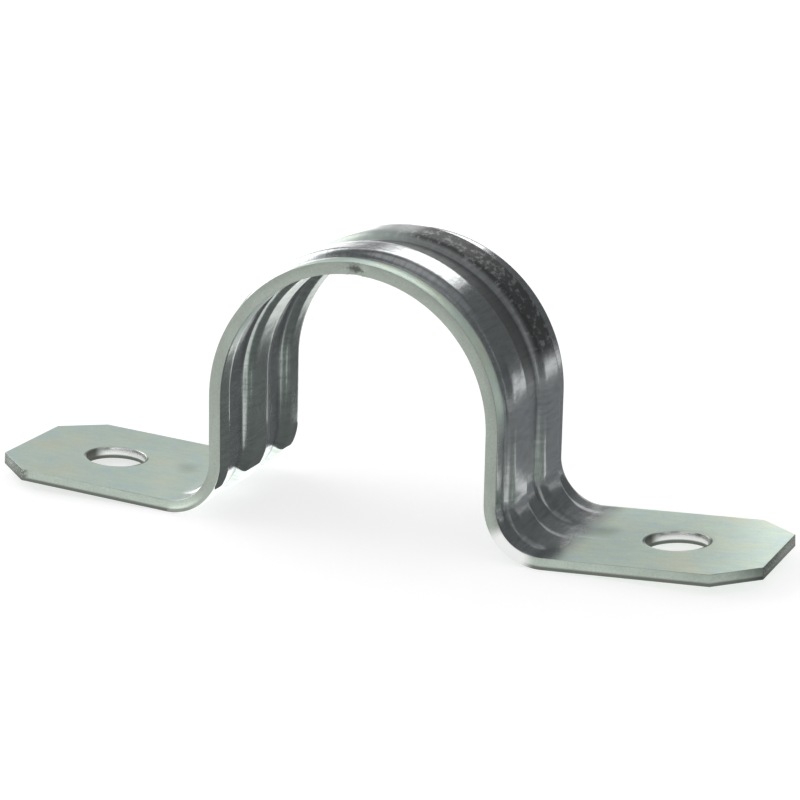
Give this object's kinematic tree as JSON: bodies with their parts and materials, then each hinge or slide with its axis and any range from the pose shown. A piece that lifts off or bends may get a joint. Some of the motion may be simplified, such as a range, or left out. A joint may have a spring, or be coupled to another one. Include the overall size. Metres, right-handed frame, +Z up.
{
  "type": "two-hole conduit strap",
  "caption": "One-piece stamped steel strap: a ribbed arch over a conduit, bent out into two flat feet with clipped corners and a screw hole in each.",
  "frame": {"origin": "midway between the two heels, on the plane that they rest on", "axes": "+X along the strap from hole to hole, +Y across the strip and along the conduit, +Z up through the crown of the arch"},
  "size_m": [0.086, 0.0194, 0.0301],
  "materials": {
    "zinc_plate": "bright zinc plate on steel, with a faint blue-green and yellow passivation tint and shiny pressed ribs"
  },
  "bodies": {
    "root": {"strap": "zinc_plate"}
  },
  "joints": []
}
